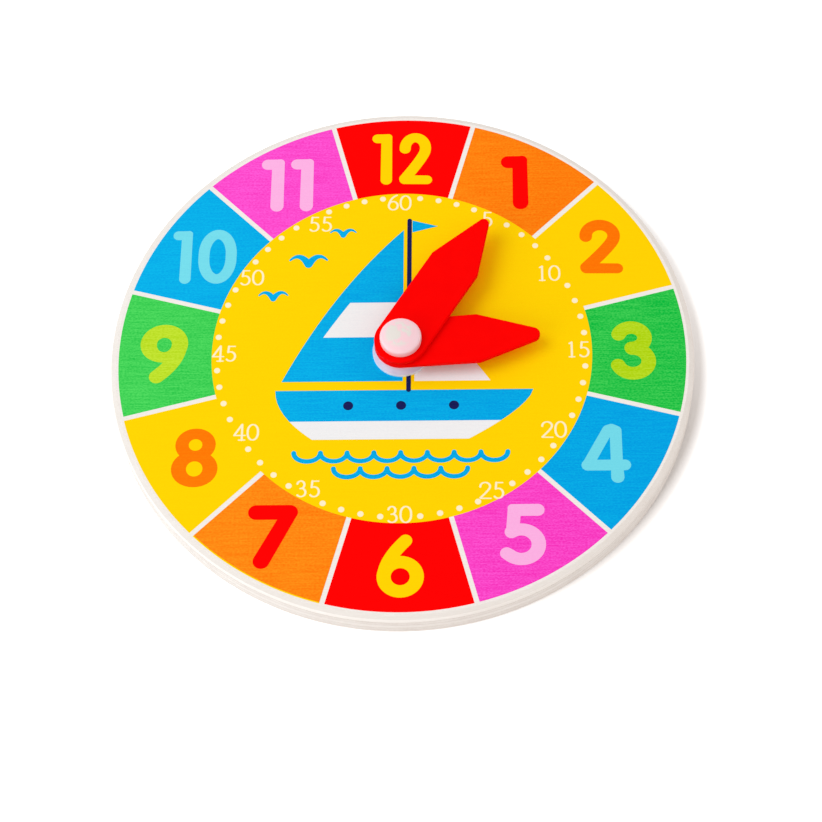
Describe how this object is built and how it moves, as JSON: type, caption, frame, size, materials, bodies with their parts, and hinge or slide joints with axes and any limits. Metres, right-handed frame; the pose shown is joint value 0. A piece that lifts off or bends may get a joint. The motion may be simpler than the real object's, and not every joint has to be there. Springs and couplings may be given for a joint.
{
  "type": "teaching clock",
  "caption": "Round wooden teaching clock: a printed, brightly coloured dial with two flat plastic hands that are turned by hand about a push-in pivot.",
  "frame": {"origin": "middle of the board's back face, which the clock rests on, on the axis of the hands", "axes": "+Z out of the dial along the hands' axis, +Y towards 12 o'clock, +X towards 3 o'clock"},
  "size_m": [0.201, 0.201, 0.022],
  "materials": {
    "printed_face": "white ground with a printed dial, satin",
    "plywood": "bare sanded plywood",
    "red_plastic": "moulded, satin gloss",
    "white_plastic": "moulded, slightly milky"
  },
  "bodies": {
    "dial_board": {"back_veneer": "plywood", "lower_crossband": "plywood", "core_veneer": "plywood", "upper_crossband": "plywood", "face_veneer": "printed_face", "pivot_base": "white_plastic", "pivot_pin": "white_plastic", "back_collar": "white_plastic"},
    "hour_hand": {"hour_hand": "red_plastic"},
    "minute_hand": {"minute_hand": "red_plastic"}
  },
  "joints": [
    {"name": "hour_hand_turn", "type": "hinge", "parent": "dial_board", "child": "hour_hand", "pos_m": [0, 0, 0.01545], "axis": [0, 0, 1], "continuous": true},
    {"name": "minute_hand_turn", "type": "hinge", "parent": "dial_board", "child": "minute_hand", "pos_m": [0, 0, 0.01765], "axis": [0, 0, 1], "continuous": true}
  ]
}
